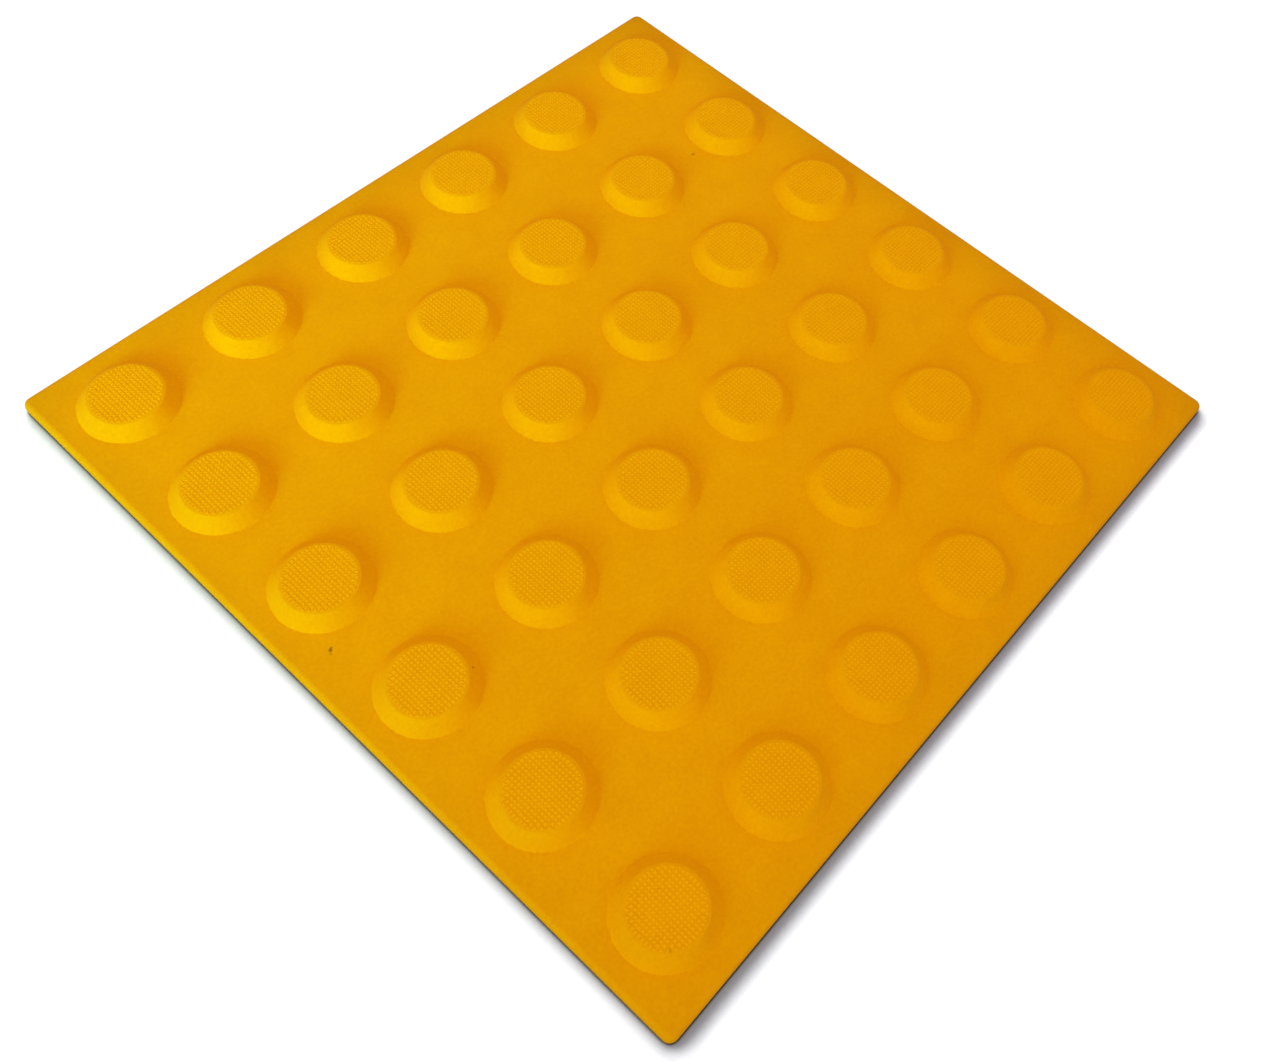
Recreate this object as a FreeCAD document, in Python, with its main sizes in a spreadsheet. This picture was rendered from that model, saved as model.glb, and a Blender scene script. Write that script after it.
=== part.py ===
# Tactile paving slab: a square tile moulded in one piece, with a field of truncated domes on its face.
# Frame: origin at the middle of the underside, +X and +Y along the sides, +Z up through the domes.
# All lengths are in millimetres.
import FreeCAD, Part
import os

import Sketcher

# Driving sizes: alias, value and what it measures
SIZES = [
    ("slab_length", 300.0, "side of the slab along X"),
    ("slab_width", 300.0, "side of the slab along Y"),
    ("slab_thickness", 4.0, "plate from its underside to its face"),
    ("corner_radius", 3.0, "rounding of the four corners in plan"),
    ("edge_radius", 2.0, "rounding of the face's outer edge"),
    ("dome_pitch", 50.0, "centre to centre of neighbouring domes, along and across"),
    ("dome_base_diameter", 34.0, "where the flank meets the face"),
    ("dome_top_diameter", 25.0, "where the flank would meet the top sharply"),
    ("dome_height", 5.0, "top of a dome above the face"),
    ("rim_ease", 0.5, "set-back of the narrow bevel that eases a dome's top edge"),
]

# An exact number of pitches in a side must not lose a dome to rounding in the last digit
COUNT_SLACK = 0.001

# Coordinates closer than this are the same
TOLERANCE = 0.001

doc = FreeCAD.newDocument("tactile_slab")

sheet = doc.addObject("Spreadsheet::Sheet", "Sizes")
for row, (alias, value, meaning) in enumerate(SIZES, start=1):
    sheet.set(f"A{row}", meaning)
    sheet.set(f"B{row}", str(value))
    sheet.setAlias(f"B{row}", alias)
doc.recompute()

slab = doc.addObject("PartDesign::Body", "Slab")
slab.Label = "tactile_slab"


def origin_feature(role):
    """The body's own origin plane or axis with this role."""
    return next(item for item in slab.Origin.OriginFeatures if item.Role == role)


def sketch_on(role, name):
    """A new sketch on one of the body's origin planes."""
    sketch = slab.newObject("Sketcher::SketchObject", name)
    sketch.AttachmentSupport = (origin_feature(role), [""])
    sketch.MapMode = "FlatFace"
    return sketch


def dimension(sketch, name, expression, *constraint):
    """A dimension that follows the sheet: constraint is its kind, what it measures and a first value."""
    index = sketch.addConstraint(Sketcher.Constraint(*constraint))
    sketch.renameConstraint(index, name)
    sketch.setExpression(f"Constraints.{name}", expression)


def edges_of(feature, chosen):
    """Names of the feature's edges for which chosen(edge) is true."""
    return [f"Edge{number}" for number, edge in enumerate(feature.Shape.Edges, start=1) if chosen(edge)]


# Plate: a rectangle centred on the origin, padded up from the underside
outline = sketch_on("XY_Plane", "SlabOutline")
half_length = sheet.slab_length / 2
half_width = sheet.slab_width / 2
corners = [
    FreeCAD.Vector(-half_length, -half_width),
    FreeCAD.Vector(half_length, -half_width),
    FreeCAD.Vector(half_length, half_width),
    FreeCAD.Vector(-half_length, half_width),
]
SOUTH, EAST, NORTH, WEST = range(4)
# The sketcher numbers a line's ends from 1 and a sketch's own axes from -1 down, and both axes start at the
# origin
START, END = range(1, 3)
H_AXIS, V_AXIS = range(-1, -3, -1)
ORIGIN = (H_AXIS, START)
for side in (SOUTH, EAST, NORTH, WEST):
    outline.addGeometry(Part.LineSegment(corners[side], corners[(side + 1) % 4]))
for side in (SOUTH, EAST, NORTH, WEST):
    outline.addConstraint(Sketcher.Constraint("Coincident", side, END, (side + 1) % 4, START))
for side in (SOUTH, NORTH):
    outline.addConstraint(Sketcher.Constraint("Horizontal", side))
for side in (EAST, WEST):
    outline.addConstraint(Sketcher.Constraint("Vertical", side))
outline.addConstraint(Sketcher.Constraint("Symmetric", SOUTH, START, EAST, END, *ORIGIN))
dimension(outline, "length", "Sizes.slab_length", "DistanceX", SOUTH, START, SOUTH, END, sheet.slab_length)
dimension(outline, "width", "Sizes.slab_width", "DistanceY", EAST, START, EAST, END, sheet.slab_width)

plate = slab.newObject("PartDesign::Pad", "Plate")
plate.Profile = outline
plate.setExpression("Length", "Sizes.slab_thickness")
doc.recompute()

# The four upright edges are rounded in plan, then the outer edge of the face all the way round
rounded_corners = slab.newObject("PartDesign::Fillet", "RoundedCorners")
upright_edges = edges_of(plate, lambda edge: edge.BoundBox.ZLength > sheet.slab_thickness / 2)
rounded_corners.Base = (plate, upright_edges)
rounded_corners.setExpression("Radius", "Sizes.corner_radius")
doc.recompute()

rounded_edge = slab.newObject("PartDesign::Fillet", "RoundedEdge")
face_edges = edges_of(rounded_corners, lambda edge: edge.BoundBox.ZMin > sheet.slab_thickness - TOLERANCE)
rounded_edge.Base = (rounded_corners, face_edges)
rounded_edge.setExpression("Radius", "Sizes.edge_radius")
doc.recompute()

# Dome profile: half a section, turned about its own upright axis. It is rooted in the middle of the plate.
# The flank runs along a guide from the foot to the sharp top corner that the diameters and the height give,
# and a narrow bevel eases that corner into the flat top.
profile = sketch_on("XZ_Plane", "DomeProfile")
base_radius = sheet.dome_base_diameter / 2
top_radius = sheet.dome_top_diameter / 2
top_level = sheet.slab_thickness + sheet.dome_height
root_level = sheet.slab_thickness / 2
foot = FreeCAD.Vector(base_radius, sheet.slab_thickness)
sharp_top = FreeCAD.Vector(top_radius, top_level)
outward = FreeCAD.Vector(1, 0)
up_flank = (sharp_top - foot).normalize()
section = [
    FreeCAD.Vector(0, root_level),
    FreeCAD.Vector(base_radius, root_level),
    foot,
    sharp_top - up_flank * sheet.rim_ease,
    sharp_top - outward * sheet.rim_ease,
    FreeCAD.Vector(0, top_level),
]
ROOT, WALL, FLANK, RIM, TOP, AXIS, GUIDE = range(7)
for line in (ROOT, WALL, FLANK, RIM, TOP, AXIS):
    profile.addGeometry(Part.LineSegment(section[line], section[(line + 1) % len(section)]))
profile.addGeometry(Part.LineSegment(foot, sharp_top), True)
for line in (ROOT, WALL, FLANK, RIM, TOP, AXIS):
    profile.addConstraint(Sketcher.Constraint("Coincident", line, END, (line + 1) % len(section), START))
for rule in [
    ("Horizontal", ROOT),
    ("Vertical", WALL),
    ("Horizontal", TOP),
    ("Vertical", AXIS),
    ("PointOnObject", AXIS, START, V_AXIS),
    ("Coincident", FLANK, START, GUIDE, START),
    ("PointOnObject", FLANK, END, GUIDE),
    ("Horizontal", TOP, START, GUIDE, END),
]:
    profile.addConstraint(Sketcher.Constraint(*rule))
for name, expression, *measured in [
    ("base_radius", "Sizes.dome_base_diameter / 2", "DistanceX", *ORIGIN, GUIDE, START, base_radius),
    ("top_radius", "Sizes.dome_top_diameter / 2", "DistanceX", *ORIGIN, GUIDE, END, top_radius),
    ("face", "Sizes.slab_thickness", "DistanceY", *ORIGIN, GUIDE, START, sheet.slab_thickness),
    ("height", "Sizes.dome_height", "DistanceY", GUIDE, START, GUIDE, END, sheet.dome_height),
    ("root", "Sizes.slab_thickness / 2", "DistanceY", *ORIGIN, ROOT, START, root_level),
    ("rim_on_flank", "Sizes.rim_ease", "Distance", FLANK, END, GUIDE, END, sheet.rim_ease),
    ("rim_on_top", "Sizes.rim_ease", "DistanceX", TOP, START, GUIDE, END, sheet.rim_ease),
]:
    dimension(profile, name, expression, *measured)

# The field is centred: as many domes each way as there are whole pitches in the side. The first dome stands
# in the corner at -X and -Y. The profile's plane faces -Y, so its offset forward is towards -Y.
columns = f"floor(Sizes.slab_length / Sizes.dome_pitch + {COUNT_SLACK})"
rows = f"floor(Sizes.slab_width / Sizes.dome_pitch + {COUNT_SLACK})"
profile.setExpression("AttachmentOffset.Base.x", f"-({columns} - 1) / 2 * Sizes.dome_pitch")
profile.setExpression("AttachmentOffset.Base.z", f"({rows} - 1) / 2 * Sizes.dome_pitch")

dome = slab.newObject("PartDesign::Revolution", "Dome")
dome.Profile = profile
dome.ReferenceAxis = (profile, ["V_Axis"])
dome.Angle = 360
doc.recompute()

field = slab.newObject("PartDesign::LinearPattern", "DomeField")
field.Originals = [dome]
field.Direction = (origin_feature("X_Axis"), [""])
field.setExpression("Length", f"({columns} - 1) * Sizes.dome_pitch")
field.setExpression("Occurrences", columns)
field.Direction2 = (origin_feature("Y_Axis"), [""])
field.setExpression("Length2", f"({rows} - 1) * Sizes.dome_pitch")
field.setExpression("Occurrences2", rows)
slab.Tip = field
doc.recompute()

# Nothing is written unless every feature built and the slab is one sound solid
for item in doc.Objects:
    if "Invalid" in item.State or "Error" in item.State:
        raise RuntimeError(f"{item.Name} did not build: {item.State}")
if slab.Shape.isNull() or not slab.Shape.isValid() or len(slab.Shape.Solids) != 1:
    raise RuntimeError("the slab is not one valid solid")

os.makedirs("parts", exist_ok=True)
slab.Shape.exportStep(f"parts/{slab.Label}.step")
box = slab.Shape.BoundBox
print(f"{slab.Label}: {box.XLength:.2f} x {box.YLength:.2f} x {box.ZLength:.2f} mm,"
      f" {slab.Shape.Volume / 1000:.1f} cm3, {len(slab.Shape.Faces)} faces")
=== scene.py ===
# Tactile paving slab: the look of the moulded slab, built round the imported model. Lengths are in metres.
import math

import bmesh
import bpy
from mathutils import Matrix, Vector


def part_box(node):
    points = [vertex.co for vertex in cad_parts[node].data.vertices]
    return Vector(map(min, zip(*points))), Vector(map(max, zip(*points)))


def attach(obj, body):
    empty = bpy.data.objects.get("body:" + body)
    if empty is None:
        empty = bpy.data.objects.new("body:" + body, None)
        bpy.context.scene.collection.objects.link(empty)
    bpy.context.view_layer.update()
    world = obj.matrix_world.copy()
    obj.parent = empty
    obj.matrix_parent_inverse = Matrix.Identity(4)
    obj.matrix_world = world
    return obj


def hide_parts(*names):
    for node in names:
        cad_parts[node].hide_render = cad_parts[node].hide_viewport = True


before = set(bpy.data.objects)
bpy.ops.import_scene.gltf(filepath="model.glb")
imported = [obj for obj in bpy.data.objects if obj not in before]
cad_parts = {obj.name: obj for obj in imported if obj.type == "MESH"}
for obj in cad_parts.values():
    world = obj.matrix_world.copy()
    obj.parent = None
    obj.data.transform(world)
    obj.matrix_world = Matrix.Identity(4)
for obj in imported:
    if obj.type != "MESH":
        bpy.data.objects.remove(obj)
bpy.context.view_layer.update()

# The slab is one shot of yellow polymer, coloured right through and pressed in an open mould. Its face has a
# square field of truncated domes, and each dome's flat top has a fine knurl of small blunt points, which was
# cut into the mould. It is laid by gluing down its flat underside.
MM = 0.001
slab_low, slab_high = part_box("tactile_slab")
slab_sizes = {
    "Length": slab_high.x - slab_low.x,
    "Width": slab_high.y - slab_low.y,
    "Height": slab_high.z - slab_low.z,
    "Corner radius": 3 * MM,
    "Edge radius": 2 * MM,
    "Underside ease": 0.4 * MM,
    "Dome pitch": 50 * MM,
    "Dome base radius": 17 * MM,
    "Dome top radius": 12.5 * MM,
    "Dome height": 5 * MM,
    "Foot radius": 0.4 * MM,
    "Rim radius": 1.2 * MM,
    "Rim land": 0.1 * MM,
    "Knurl pitch": 1.4 * MM,
    "Knurl depth": 0.14 * MM,
    "Knurl point": 0.45,
}
# Facets over the roundings of a dome's rim and foot, and of the slab's top edge, corners and lower edge
RIM_STEPS = 4
FOOT_STEPS = 5
EDGE_STEPS = 6
CORNER_STEPS = 6
EASE_STEPS = 2
QUARTER_TURN = math.radians(90)
# A knurl cell is left out where its middle comes closer to the knurl's edge than this share of the pitch
LEAST_INSET = 0.1
# Points closer than this are one point where the pieces of the form are joined
SAME_PLACE = 0.005 * MM
TIP_MARK = "knurl_tip"

tree = bpy.data.node_groups.new("slab_form", "GeometryNodeTree")
for name in slab_sizes:
    tree.interface.new_socket(name, in_out="INPUT", socket_type="NodeSocketFloat")
tree.interface.new_socket("Slab", in_out="OUTPUT", socket_type="NodeSocketGeometry")
entry = tree.nodes.new("NodeGroupInput")


class Number:
    """A number that flows through a tree of nodes, so that numbers combine by plain arithmetic."""

    def __init__(self, socket):
        self.socket = socket

    def __add__(self, other):
        return number("ADD", self, other)

    def __sub__(self, other):
        return number("SUBTRACT", self, other)

    def __mul__(self, other):
        return number("MULTIPLY", self, other)

    def __truediv__(self, other):
        return number("DIVIDE", self, other)


def feed(slot, value):
    """Gives an input socket a plain value, a flowing number or another node's output."""
    if isinstance(value, Number):
        value = value.socket
    if isinstance(value, bpy.types.NodeSocket):
        slot.id_data.links.new(value, slot)
    else:
        slot.default_value = value


def step(kind, inputs, into=tree, **settings):
    """One node, in the slab's tree unless told otherwise, with its inputs by name or by number."""
    made = into.nodes.new(kind)
    for name, value in settings.items():
        setattr(made, name, value)
    for name, value in inputs.items():
        feed(made.inputs[name], value)
    return made


def number(operation, *values):
    """The result of one sum on flowing numbers, worked out in the tree that they flow through."""
    home = next(value.socket.id_data for value in values if isinstance(value, Number))
    return Number(step("ShaderNodeMath", dict(enumerate(values)), into=home, operation=operation).outputs[0])


def vector(operation, *values):
    """The result of one sum on flowing vectors."""
    return step("ShaderNodeVectorMath", dict(enumerate(values)), operation=operation).outputs[0]


size = {name: Number(entry.outputs[name]) for name in slab_sizes}
face_level = size["Height"] - size["Dome height"]
knurl_floor = size["Height"] - size["Knurl depth"]
flank_run = size["Dome base radius"] - size["Dome top radius"]
flank_lean = number("ARCTAN2", size["Dome height"], flank_run)
half_lean = number("TANGENT", flank_lean / 2)
sharp_rim = size["Dome top radius"] + size["Knurl depth"] * flank_run / size["Dome height"]
rim_start = sharp_rim - size["Rim radius"] * half_lean
foot_end = size["Dome base radius"] + size["Foot radius"] * half_lean
knurl_radius = rim_start - size["Rim land"]

place = step("GeometryNodeInputPosition", {}).outputs[0]
in_plan = vector("MULTIPLY", place, (1, 1, 0))
from_axis = Number(step("ShaderNodeVectorMath", {0: in_plan}, operation="LENGTH").outputs["Value"])
# A Compare node has a pair of inputs for each kind of value, and these are the numbers of the integers
FIRST_INTEGER, SECOND_INTEGER = 2, 3
faces_at_edge = step("GeometryNodeInputMeshEdgeNeighbors", {}).outputs[0]
bare_edge = step(
    "FunctionNodeCompare",
    {FIRST_INTEGER: faces_at_edge, SECOND_INTEGER: 1},
    data_type="INT",
    operation="EQUAL",
).outputs[0]


def at_height(plan, height):
    """A place with this plan position and this height."""
    lift = step("ShaderNodeCombineXYZ", {"Z": height}).outputs[0]
    return vector("ADD", plan, lift)


def next_ring(form, edges, target):
    """Draws the chosen edges out to a new ring at target, and gives the form with that ring's edges."""
    drawn = step(
        "GeometryNodeExtrudeMesh", {"Mesh": form, "Selection": edges, "Offset Scale": 0.0}, mode="EDGES"
    )
    moved = step(
        "GeometryNodeSetPosition",
        {"Geometry": drawn.outputs["Mesh"], "Selection": drawn.outputs["Top"], "Position": target},
    )
    return moved.outputs[0], drawn.outputs["Top"]


def shaded(form, smooth, faces=True):
    """The form with its chosen faces shaded smooth or flat."""
    made = step(
        "GeometryNodeSetShadeSmooth", {0: form, "Selection": faces, "Shade Smooth": smooth}, domain="FACE"
    )
    return made.outputs[0]


# Knurl: a square net of cells inside the rim, its edge drawn to a circle, each cell raised to a blunt point
cells = number("CEIL", knurl_radius / size["Knurl pitch"]) * 2
net = step(
    "GeometryNodeMeshGrid",
    {
        "Size X": cells * size["Knurl pitch"],
        "Size Y": cells * size["Knurl pitch"],
        "Vertices X": cells + 1,
        "Vertices Y": cells + 1,
    },
).outputs[0]
outside = number("GREATER_THAN", from_axis, knurl_radius - size["Knurl pitch"] * LEAST_INSET)
disc = step("GeometryNodeDeleteGeometry", {"Geometry": net, "Selection": outside}, domain="FACE").outputs[0]
on_border = step("GeometryNodeFieldOnDomain", {0: bare_edge}, data_type="BOOLEAN", domain="EDGE").outputs[0]


def round_the_axis(radius, height):
    """Where a ring's points go: straight out from the dome's axis to this radius, at this height."""
    outward = vector("NORMALIZE", in_plan)
    reach = step("ShaderNodeVectorMath", {0: outward, "Scale": radius}, operation="SCALE").outputs[0]
    return at_height(reach, height)


for chosen_points, target in [
    (True, at_height(in_plan, knurl_floor)),
    (on_border, round_the_axis(knurl_radius, knurl_floor)),
]:
    disc = step(
        "GeometryNodeSetPosition", {"Geometry": disc, "Selection": chosen_points, "Position": target}
    ).outputs[0]

# Dome: rings drawn out from the knurl, over the rounded rim, down the flank and into the hollow foot
dome, ring = next_ring(disc, bare_edge, round_the_axis(rim_start, knurl_floor))
for count in range(1, RIM_STEPS + 1):
    turn = flank_lean * (count / RIM_STEPS)
    reach = rim_start + size["Rim radius"] * number("SINE", turn)
    drop = size["Rim radius"] - size["Rim radius"] * number("COSINE", turn)
    dome, ring = next_ring(dome, ring, round_the_axis(reach, knurl_floor - drop))
for count in range(FOOT_STEPS, -1, -1):
    turn = flank_lean * (count / FOOT_STEPS)
    reach = foot_end - size["Foot radius"] * number("SINE", turn)
    rise = size["Foot radius"] - size["Foot radius"] * number("COSINE", turn)
    dome, ring = next_ring(dome, ring, round_the_axis(reach, face_level + rise))
in_knurl = number("LESS_THAN", from_axis, knurl_radius)
dome = shaded(dome, True)
points = step(
    "GeometryNodeExtrudeMesh",
    {"Mesh": dome, "Selection": in_knurl, "Offset Scale": size["Knurl depth"], "Individual": True},
    mode="FACES",
)
tips = points.outputs["Top"]
dome = step(
    "GeometryNodeStoreNamedAttribute",
    {"Geometry": points.outputs["Mesh"], "Name": TIP_MARK, "Value": tips},
    data_type="FLOAT",
    domain="FACE",
).outputs[0]
dome = step(
    "GeometryNodeScaleElements", {0: dome, "Selection": tips, "Scale": size["Knurl point"]}, domain="FACE"
).outputs[0]
dome = shaded(dome, False, in_knurl)

# Dome field: as many domes each way as there are pitches in the side, rounded, and centred on the slab
columns = number("ROUND", size["Length"] / size["Dome pitch"])
rows = number("ROUND", size["Width"] / size["Dome pitch"])
centres = step(
    "GeometryNodeMeshGrid",
    {
        "Size X": (columns - 1) * size["Dome pitch"],
        "Size Y": (rows - 1) * size["Dome pitch"],
        "Vertices X": columns,
        "Vertices Y": rows,
    },
).outputs[0]
domes = step("GeometryNodeInstanceOnPoints", {"Points": centres, "Instance": dome}).outputs[0]
domes = step("GeometryNodeRealizeInstances", {0: domes}).outputs[0]

# Face: one flat sheet between the rounded outline and the feet of the domes
outline = step(
    "GeometryNodeCurvePrimitiveQuadrilateral",
    {
        "Width": size["Length"] - size["Edge radius"] * 2,
        "Height": size["Width"] - size["Edge radius"] * 2,
    },
).outputs[0]
outline = step(
    "GeometryNodeFilletCurve",
    {"Curve": outline, "Count": CORNER_STEPS, "Radius": size["Corner radius"] - size["Edge radius"]},
    mode="POLY",
).outputs[0]
feet = step("GeometryNodeMeshToCurve", {0: domes, "Selection": bare_edge}).outputs[0]


def joined(*forms):
    """Several forms as one."""
    made = tree.nodes.new("GeometryNodeJoinGeometry")
    for form in forms:
        tree.links.new(form, made.inputs[0])
    return made.outputs[0]


def flat_sheet(border, height):
    """A flat sheet inside a border, at this height."""
    sheet = step("GeometryNodeFillCurve", {0: border}, mode="TRIANGLES").outputs[0]
    level = at_height(in_plan, height)
    return shaded(step("GeometryNodeSetPosition", {"Geometry": sheet, "Position": level}).outputs[0], False)


face = flat_sheet(joined(outline, feet), face_level)

# Edge: the outline drawn out over the rounded top edge, down the wall and in under the eased lower edge
half_length = size["Length"] / 2 - size["Corner radius"]
half_width = size["Width"] / 2 - size["Corner radius"]
reach_of_sides = step("ShaderNodeCombineXYZ", {"X": half_length, "Y": half_width}).outputs[0]
to_sides = vector("MAXIMUM", in_plan, vector("MULTIPLY", reach_of_sides, (-1, -1, 0)))
to_sides = vector("MINIMUM", to_sides, reach_of_sides)
from_sides = vector("NORMALIZE", vector("SUBTRACT", in_plan, to_sides))


def round_the_outline(offset, height):
    """Where the outline's points go: this far out from the corner centres, at this height."""
    reach = step("ShaderNodeVectorMath", {0: from_sides, "Scale": offset}, operation="SCALE").outputs[0]
    return at_height(vector("ADD", to_sides, reach), height)


border = step("GeometryNodeCurveToMesh", {"Curve": outline}).outputs[0]
at_face = at_height(in_plan, face_level)
wall = step("GeometryNodeSetPosition", {"Geometry": border, "Position": at_face}).outputs[0]
ring = True
for count in range(1, EDGE_STEPS + 1):
    turn = QUARTER_TURN * count / EDGE_STEPS
    reach = size["Corner radius"] - size["Edge radius"] * (1 - math.sin(turn))
    level = face_level - size["Edge radius"] * (1 - math.cos(turn))
    wall, ring = next_ring(wall, ring, round_the_outline(reach, level))
for count in range(EASE_STEPS + 1):
    turn = QUARTER_TURN * count / EASE_STEPS
    reach = size["Corner radius"] - size["Underside ease"] * (1 - math.cos(turn))
    level = size["Underside ease"] * (1 - math.sin(turn))
    wall, ring = next_ring(wall, ring, round_the_outline(reach, level))
foot_line = step("GeometryNodeMeshToCurve", {0: wall, "Selection": ring}).outputs[0]
underside = flat_sheet(foot_line, 0.0)
underside = step("GeometryNodeFlipFaces", {0: underside}).outputs[0]

whole = joined(domes, face, shaded(wall, True), underside)
whole = step("GeometryNodeMergeByDistance", {"Geometry": whole, "Distance": SAME_PLACE}).outputs[0]
whole = step("GeometryNodeRealizeInstances", {0: whole}).outputs[0]

polymer = bpy.data.materials.new("yellow_polymer")
polymer.use_nodes = True
finish = step("GeometryNodeSetMaterial", {"Geometry": whole, "Material": polymer})
leave = tree.nodes.new("NodeGroupOutput")
tree.links.new(finish.outputs[0], leave.inputs[0])

form = bpy.data.objects.new("slab_form", bpy.data.meshes.new("slab_form"))
bpy.context.scene.collection.objects.link(form)
shaping = form.modifiers.new("slab_form", "NODES")
shaping.node_group = tree
for item in tree.interface.items_tree:
    if item.in_out == "INPUT":
        shaping[item.identifier] = slab_sizes[item.name]
slab_mesh = bpy.data.meshes.new_from_object(form.evaluated_get(bpy.context.evaluated_depsgraph_get()))
bpy.data.objects.remove(form)
slab_mesh.name = "moulded_slab"
slab = bpy.data.objects.new("moulded_slab", slab_mesh)
bpy.context.scene.collection.objects.link(slab)
# The sheets and rings each face their own way, so all faces are turned to point outwards
skin = bmesh.new()
skin.from_mesh(slab_mesh)
bmesh.ops.recalc_face_normals(skin, faces=skin.faces)
skin.to_mesh(slab_mesh)
skin.free()

# Polymer: pigment that clouds a little as it flows in the mould, a fine matt grain, tips of the knurl
# painted paler as a highlight, a browner margin, painted shade along the foot of the wall and a few specks
# of dirt
LEAN_PIGMENT = (0.838, 0.299, 0.0005, 1)
RICH_PIGMENT = (0.918, 0.36, 0.0005, 1)
TIP_HIGHLIGHT_PIGMENT = (0.98, 0.395, 0.001, 1)
# Dark colour of the specks of dirt, of the darker margin and of the painted shade at the wall's foot
DIRT_AND_SHADE_COLOUR = (0.13, 0.04, 0.003, 1)
SHEEN_COLOUR = (1.0, 0.9, 0.02, 1)
CLOUDS_PER_METRE = 90
GRAINS_PER_METRE = 800
GRAIN_DEPTH = 0.05 * MM
NOISE_ROUGHNESS = 0.6
# Most of the noise lies in this range
NOISE_RANGE = (0.3, 0.7)
# Share of the clouds in what mottles the colour and the roughness, the rest of which is grain
CLOUDS_IN_COLOUR = 0.4
CLOUDS_IN_ROUGHNESS = 0.6
ROUGHNESS_RANGE = (0.62, 0.74)
SHEEN_LEVEL = 0.03
# How far the tips of the knurl turn to the paler colour of their painted highlight
TIP_HIGHLIGHT_SHARE = 0.7
# Painted shade covers the wall's foot to the first height, and thins out to nothing at the second
FOOT_SHADE_HEIGHTS = (0.7 * MM, 1.4 * MM)
FOOT_SHADE_COVER = 0.85
FOOT_SHADE_WANDER = 0.3 * MM
# The margin browns towards the sides over this width, the least in the corner at -X and -Y
MARGIN_WIDTH = 25 * MM
NEAR_MARGIN_DARKENING = 0.08
FAR_MARGIN_DARKENING = 0.18
# A speck is whole over the first of these shares of its spread, and its outline wanders by the second
SPECK_CORE = 0.4
SPECK_WANDER = 0.3
# Places of the specks, how far each one spreads and how much it covers
SPECKS = [
    (Vector((-137.6, 5.6, 4)) * MM, 0.8 * MM, 0.65),
    (Vector((-136.8, 6.2, 4)) * MM, 0.6 * MM, 0.5),
    (Vector((-138.4, 4.7, 4)) * MM, 0.8 * MM, 0.3),
    (Vector((-112.5, -31.4, 7.25)) * MM, 0.7 * MM, 0.5),
    (Vector((103.2, 73.2, 4)) * MM, 0.9 * MM, 0.4),
    (Vector((-133.0, -133.4, 9)) * MM, 0.8 * MM, 0.22),
]
paint = polymer.node_tree
shader = paint.nodes["Principled BSDF"]
on_slab = step("ShaderNodeTexCoord", {}, into=paint).outputs["Object"]


def noise(per_metre, detail):
    """Noise through the slab's body, with about this many lumps to a metre."""
    made = step(
        "ShaderNodeTexNoise",
        {"Vector": on_slab, "Scale": per_metre, "Detail": detail, "Roughness": NOISE_ROUGHNESS},
        into=paint,
    )
    return Number(made.outputs["Fac"])


def ranged(value, low, high, to_low, to_high):
    """A flowing number drawn from one range to another, and held inside it."""
    made = step(
        "ShaderNodeMapRange",
        {"Value": value, "From Min": low, "From Max": high, "To Min": to_low, "To Max": to_high},
        into=value.socket.id_data,
    )
    return Number(made.outputs["Result"])


# A Mix node has a pair of inputs and a result for each kind of value, and these are the colours' numbers
FIRST_COLOUR, SECOND_COLOUR, MIXED_COLOUR = 6, 7, 2


def mixed(factor, first, second):
    """A colour between two others."""
    made = step(
        "ShaderNodeMix",
        {"Factor": factor, FIRST_COLOUR: first, SECOND_COLOUR: second},
        into=factor.socket.id_data,
        data_type="RGBA",
    )
    return made.outputs[MIXED_COLOUR]


clouds = noise(CLOUDS_PER_METRE, detail=3.0)
grain = noise(GRAINS_PER_METRE, detail=2.0)


def mottled(share, to_low, to_high):
    """Clouds and grain together, with this share of clouds, drawn to a range."""
    return ranged(clouds * share + grain * (1 - share), *NOISE_RANGE, to_low, to_high)


colour = mixed(mottled(CLOUDS_IN_COLOUR, 0.0, 1.0), LEAN_PIGMENT, RICH_PIGMENT)
on_tip = step("ShaderNodeAttribute", {}, into=paint, attribute_name=TIP_MARK).outputs["Fac"]
# Painted highlight: the knurl tips are painted paler than the rest of the dome's top
colour = mixed(Number(on_tip) * TIP_HIGHLIGHT_SHARE, colour, TIP_HIGHLIGHT_PIGMENT)
for centre, spread, cover in SPECKS:
    away = step("ShaderNodeVectorMath", {0: on_slab, 1: centre}, into=paint, operation="DISTANCE")
    wander = ranged(grain, *NOISE_RANGE, -SPECK_WANDER, SPECK_WANDER) * spread
    ragged = Number(away.outputs["Value"]) + wander
    covered = ranged(ragged, spread * SPECK_CORE, spread, cover, 0.0)
    colour = mixed(covered, colour, DIRT_AND_SHADE_COLOUR)
along, across, height = map(Number, step("ShaderNodeSeparateXYZ", {0: on_slab}, into=paint).outputs)
# The slab turns darker towards its sides, the least in the corner at -X and -Y
margin_darkening = ranged(along + across, slab_low.x, slab_high.x, NEAR_MARGIN_DARKENING, FAR_MARGIN_DARKENING)
for reach, side in ((along, slab_high.x), (across, slab_high.y)):
    nearness = ranged(number("ABSOLUTE", reach), side - MARGIN_WIDTH, side, 0.0, 1.0)
    colour = mixed(nearness * nearness * margin_darkening, colour, DIRT_AND_SHADE_COLOUR)
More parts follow.
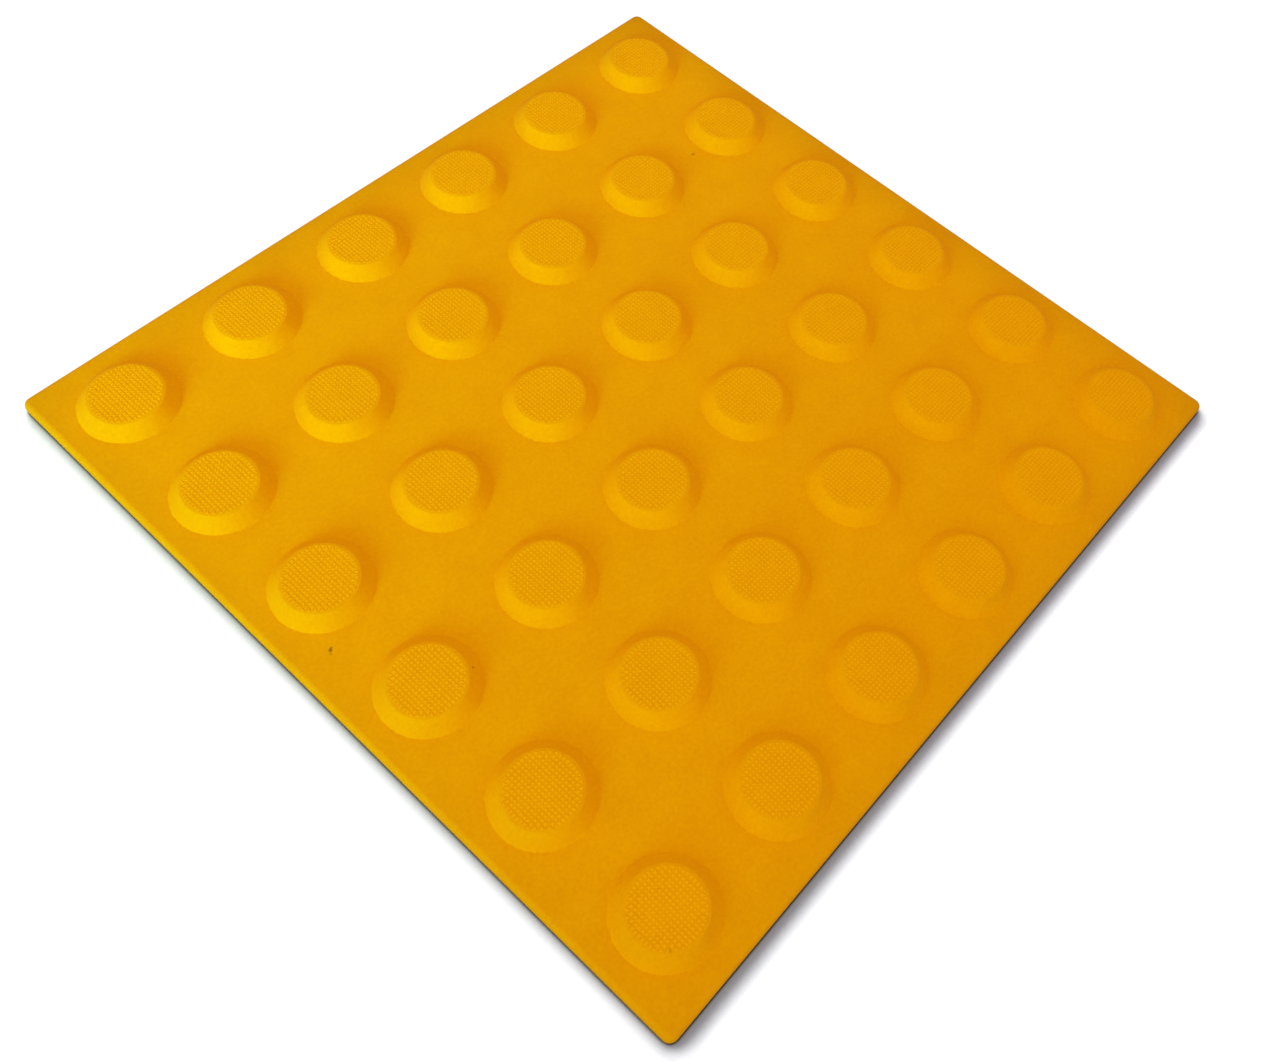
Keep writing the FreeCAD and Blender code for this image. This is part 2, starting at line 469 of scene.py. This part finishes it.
# Painted shade: the wall turns dark towards its foot, next to the floor
foot_shade = ranged(height + grain * FOOT_SHADE_WANDER, *FOOT_SHADE_HEIGHTS, FOOT_SHADE_COVER, 0.0)
colour = mixed(foot_shade, colour, DIRT_AND_SHADE_COLOUR)
feed(shader.inputs["Base Color"], colour)
feed(shader.inputs["Roughness"], mottled(CLOUDS_IN_ROUGHNESS, *ROUGHNESS_RANGE))
bump = step("ShaderNodeBump", {"Strength": 1.0, "Distance": GRAIN_DEPTH, "Height": grain}, into=paint)
feed(shader.inputs["Normal"], bump.outputs["Normal"])
feed(shader.inputs["Specular IOR Level"], SHEEN_LEVEL)
feed(shader.inputs["Specular Tint"], SHEEN_COLOUR)

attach(slab, "root")
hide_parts("tactile_slab")

# The floor is a plain white sheet that the slab lies on. It isn't part of the slab. It shows the soft grey
# shadow that the picture has along the slab's two near sides, and a thin dark line at the slab's foot.
FLOOR_REACH = 6.0
# The sheet throws grey light on the slab, and a glow that only the camera and mirrors see lifts it to white
FLOOR_GREY = (0.335, 0.32, 0.37, 1)
FLOOR_LIFT = 0.79
# The shadow leans to the near sides. It is deepest where the first share of the space round a point is
# open, and ends where the second is.
DEEPEST_SHADOW = 0.64
END_OF_SHADOW = 0.88
SHADOW_REACH = 7.1 * MM
SHADOW_LEAN = Vector((0.34, 0.93, 0.12)).normalized()
# Close to the slab's foot the floor is nearly black, and two such shares bound that dark line
CONTACT_SHADE = (0.03, 0.022, 0.015, 1)
CONTACT_REACH = 1.5 * MM
CLOSEST_CONTACT = 0.55
END_OF_CONTACT = 0.8


def seen_directly(shading):
    """A factor that is 1 for what the camera sees, straight or mirrored, and 0 for light on the slab."""
    path = step("ShaderNodeLightPath", {}, into=shading).outputs
    seen = Number(path["Is Camera Ray"])
    for ray in ("Is Glossy Ray", "Is Transmission Ray"):
        seen = number("MAXIMUM", seen, path[ray])
    return seen


floor_mesh = bpy.data.meshes.new("floor")
floor_corners = [(x * FLOOR_REACH, y * FLOOR_REACH, 0) for x, y in ((-1, -1), (1, -1), (1, 1), (-1, 1))]
floor_mesh.from_pydata(floor_corners, [], [range(4)])
floor = bpy.data.objects.new("floor", floor_mesh)
bpy.context.scene.collection.objects.link(floor)
white = bpy.data.materials.new("white_floor")
white.use_nodes = True
floor_nodes = white.node_tree
floor_nodes.nodes.remove(floor_nodes.nodes["Principled BSDF"])
close = step("ShaderNodeAmbientOcclusion", {"Distance": CONTACT_REACH}, into=floor_nodes).outputs["AO"]
clear = ranged(Number(close), CLOSEST_CONTACT, END_OF_CONTACT, 0.0, 1.0)
pale = mixed(clear, CONTACT_SHADE, FLOOR_GREY)
sheet = step("ShaderNodeBsdfDiffuse", {"Color": pale}, into=floor_nodes).outputs[0]
near_sides = step("ShaderNodeCombineXYZ", dict(zip("XYZ", SHADOW_LEAN)), into=floor_nodes).outputs[0]
around = step(
    "ShaderNodeAmbientOcclusion", {"Distance": SHADOW_REACH, "Normal": near_sides}, into=floor_nodes
).outputs["AO"]
lift = ranged(Number(around), DEEPEST_SHADOW, END_OF_SHADOW, 0.0, FLOOR_LIFT)
glow = step("ShaderNodeEmission", {"Strength": lift}, into=floor_nodes).outputs[0]
lifted = step("ShaderNodeAddShader", {0: sheet, 1: glow}, into=floor_nodes).outputs[0]
shown = step("ShaderNodeMixShader", {0: seen_directly(floor_nodes), 1: sheet, 2: lifted}, into=floor_nodes)
feed(floor_nodes.nodes["Material Output"].inputs["Surface"], shown.outputs[0])
floor_mesh.materials.append(white)

# Soft studio light: a pale room all round, and one soft box low on the left of the picture, with a grid that
# keeps most of its light on the far left of the slab. The box is tinted, because in the picture the slopes
# that it lights turn from orange to yellow.
ROOM_LEVEL = 0.844
# The room is brighter by this share on the box's side, and darker by as much on the other
ROOM_LEAN = 0.19
BRIGHT_SIDE = Vector((-0.98, -0.2, 0.0))
WHITE = (1, 1, 1, 1)
LAMP_COLOUR = (0.3, 1.0, 0.26)
LAMP_PLACE = Vector((-0.9, -0.09, 0.28))
LAMP_AIM = Vector((0.05, 0.32, 0.0))
LAMP_SIDE = 0.45
LAMP_WATTS = 1.05
LAMP_SPREAD = math.radians(48)
room = bpy.data.worlds.new("room")
room.use_nodes = True
bpy.context.scene.world = room
room_nodes = room.node_tree
room_light = room_nodes.nodes["Background"]
feed(room_light.inputs["Color"], WHITE)
outward = step("ShaderNodeTexCoord", {}, into=room_nodes).outputs["Generated"]
facing_box = step(
    "ShaderNodeVectorMath", {0: outward, 1: BRIGHT_SIDE}, into=room_nodes, operation="DOT_PRODUCT"
)
room_shade = Number(facing_box.outputs["Value"]) * ROOM_LEAN + 1
feed(room_light.inputs["Strength"], room_shade * ROOM_LEVEL)
backdrop = step("ShaderNodeBackground", {"Color": WHITE}, into=room_nodes)
shown = step(
    "ShaderNodeMixShader",
    {0: seen_directly(room_nodes), 1: room_light.outputs[0], 2: backdrop.outputs[0]},
    into=room_nodes,
)
feed(room_nodes.nodes["World Output"].inputs["Surface"], shown.outputs[0])
lamp = bpy.data.lights.new("soft_box", "AREA")
lamp.shape = "SQUARE"
lamp.size = LAMP_SIDE
lamp.color = LAMP_COLOUR
lamp.energy = LAMP_WATTS
lamp.spread = LAMP_SPREAD
soft_box = bpy.data.objects.new("soft_box", lamp)
facing = (LAMP_AIM - LAMP_PLACE).to_track_quat("-Z", "Y").to_matrix().to_4x4()
soft_box.matrix_world = Matrix.Translation(LAMP_PLACE) @ facing
bpy.context.scene.collection.objects.link(soft_box)

# The camera looks down over the corner at -X and -Y, where the picture was taken from. The picture's middle
# isn't the middle of the view, and a small shift of the lens, in widths of the frame, allows for that.
CAMERA_PLACE = Vector((-0.19476, -0.16667, 0.37757))
CAMERA_AIM = Vector((0.01296, -0.04514, 0.004))
CAMERA_ROLL = math.radians(12.153)
SENSOR_WIDTH_MM = 36.0
FOCAL_LENGTH_MM = 35.161
SHIFT_ACROSS = -0.10
SHIFT_UP = -0.06
lens = bpy.data.cameras.new("camera")
lens.sensor_width = SENSOR_WIDTH_MM
lens.lens = FOCAL_LENGTH_MM
lens.shift_x = SHIFT_ACROSS
lens.shift_y = SHIFT_UP
camera = bpy.data.objects.new("camera", lens)
looking = (CAMERA_AIM - CAMERA_PLACE).to_track_quat("-Z", "Y").to_matrix().to_4x4()
camera.matrix_world = Matrix.Translation(CAMERA_PLACE) @ looking @ Matrix.Rotation(CAMERA_ROLL, 4, "Z")
bpy.context.scene.collection.objects.link(camera)
bpy.context.scene.camera = camera
bpy.context.scene.view_settings.view_transform = "Standard"
